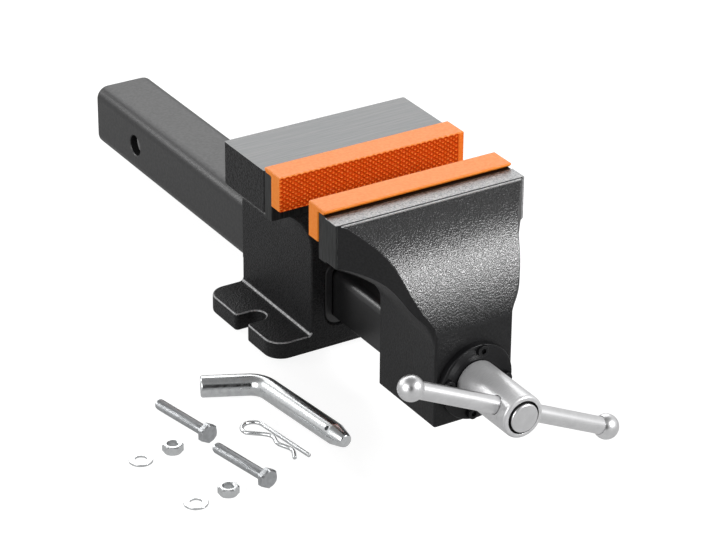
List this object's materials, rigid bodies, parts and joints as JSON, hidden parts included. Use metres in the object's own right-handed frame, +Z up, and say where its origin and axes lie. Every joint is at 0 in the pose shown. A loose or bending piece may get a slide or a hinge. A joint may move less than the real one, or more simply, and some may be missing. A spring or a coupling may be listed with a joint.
{
  "type": "hitch-mount bench vise",
  "caption": "Bench vise whose sliding jaw runs in a square hitch shank, with slotted base ears, capped jaws, screw spindle, ball-ended bar handle and loose mounting kit.",
  "frame": {"origin": "middle of the base's underside, below the axis of slide and screw", "axes": "+X along the jaws, +Y back along the shank, -Y towards the handle, +Z up"},
  "size_m": [0.3153, 0.5884, 0.1655],
  "materials": {
    "hammered_iron": "black hammered coat, machined on the jaw tops",
    "coated_tube": "satin black powder coat",
    "hardened_steel": "ground",
    "black_steel": "black oxide",
    "orange_coating": "satin orange, knurled on the jaw face",
    "polished_steel": "polished",
    "bronze": "machined",
    "zinc_plate": "bright zinc"
  },
  "bodies": {
    "fixed_half": {"fixed_body": "hammered_iron", "hitch_shank": "coated_tube", "lead_nut": "bronze", "nut_bolt": "black_steel", "fixed_jaw_plate": "hardened_steel", "fixed_jaw_screw_left": "black_steel", "fixed_jaw_screw_right": "black_steel", "fixed_jaw_cap": "orange_coating", "fixed_cap_magnet_left": "zinc_plate", "fixed_cap_magnet_right": "zinc_plate", "hitch_pin": "zinc_plate", "hitch_pin_clip": "zinc_plate", "mount_bolt_1": "zinc_plate", "mount_bolt_2": "zinc_plate", "mount_nut_1": "zinc_plate", "mount_nut_2": "zinc_plate", "mount_washer_1": "zinc_plate", "mount_washer_2": "zinc_plate"},
    "sliding_half": {"moving_jaw": "hammered_iron", "slide_beam": "black_steel", "moving_jaw_plate": "hardened_steel", "moving_jaw_screw_left": "black_steel", "moving_jaw_screw_right": "black_steel", "moving_jaw_cap": "orange_coating", "moving_cap_magnet_left": "zinc_plate", "moving_cap_magnet_right": "zinc_plate", "retainer_flange": "black_steel", "flange_screw_top": "black_steel", "flange_screw_right": "black_steel", "flange_screw_bottom": "black_steel", "flange_screw_left": "black_steel"},
    "spindle": {"spindle_screw": "polished_steel", "thrust_washer": "bronze", "spindle_head": "polished_steel"},
    "handle": {"handle_bar": "polished_steel", "handle_ball_left": "polished_steel", "handle_ball_right": "polished_steel"}
  },
  "joints": [
    {"name": "jaw_slide", "type": "slide", "parent": "fixed_half", "child": "sliding_half", "axis": [0, -1, 0], "range_m": [-0.039, 0.111]},
    {"name": "spindle_turn", "type": "hinge", "parent": "sliding_half", "child": "spindle", "pos_m": [0, -0.21, 0.044], "axis": [0, 1, 0], "range_deg": [-6670, 2350]},
    {"name": "handle_slide", "type": "slide", "parent": "spindle", "child": "handle", "axis": [0.9011, 0, -0.4337], "range_m": [-0.067, 0.067]}
  ],
  "couplings": [
    {"joint": "spindle_turn", "follows": "jaw_slide", "rad_per_m": -1047.2}
  ]
}
